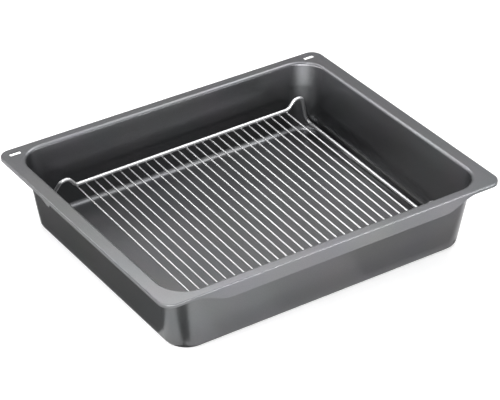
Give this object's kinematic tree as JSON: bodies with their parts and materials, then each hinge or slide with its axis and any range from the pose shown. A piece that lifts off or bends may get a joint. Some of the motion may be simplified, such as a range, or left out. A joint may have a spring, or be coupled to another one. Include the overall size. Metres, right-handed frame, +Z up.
{
  "type": "deep oven pan with wire rack",
  "caption": "Deep rectangular enamelled oven pan with a flanged rim and front grip lip, and a loose raised wire rack that stands inside it.",
  "frame": {"origin": "under the middle of the pan, on the surface that it stands on", "axes": "+X to the right along the pan's long side, +Y to the back of the oven, away from the grip lip, +Z up"},
  "size_m": [0.455, 0.3762, 0.089],
  "materials": {
    "enamel": "satin vitreous enamel",
    "bright_wire": "bright plated wire"
  },
  "bodies": {
    "pan": {"pan": "enamel"},
    "rack": {"rack_frame": "bright_wire", "rack_wire_01": "bright_wire", "rack_wire_02": "bright_wire", "rack_wire_03": "bright_wire", "rack_wire_04": "bright_wire", "rack_wire_05": "bright_wire", "rack_wire_06": "bright_wire", "rack_wire_07": "bright_wire", "rack_wire_08": "bright_wire", "rack_wire_09": "bright_wire", "rack_wire_10": "bright_wire", "rack_wire_11": "bright_wire", "rack_wire_12": "bright_wire", "rack_wire_13": "bright_wire", "rack_wire_14": "bright_wire", "rack_wire_15": "bright_wire", "rack_wire_16": "bright_wire", "rack_wire_17": "bright_wire", "rack_wire_18": "bright_wire", "rack_wire_19": "bright_wire", "rack_wire_20": "bright_wire", "rack_wire_21": "bright_wire", "rack_wire_22": "bright_wire", "rack_wire_23": "bright_wire", "rack_wire_24": "bright_wire", "rack_wire_25": "bright_wire", "rack_wire_26": "bright_wire", "rack_wire_27": "bright_wire"}
  },
  "joints": [
    {"name": "rack_lift", "type": "slide", "parent": "pan", "child": "rack", "axis": [0, 0, 1], "range_m": [0, 0.12]}
  ]
}
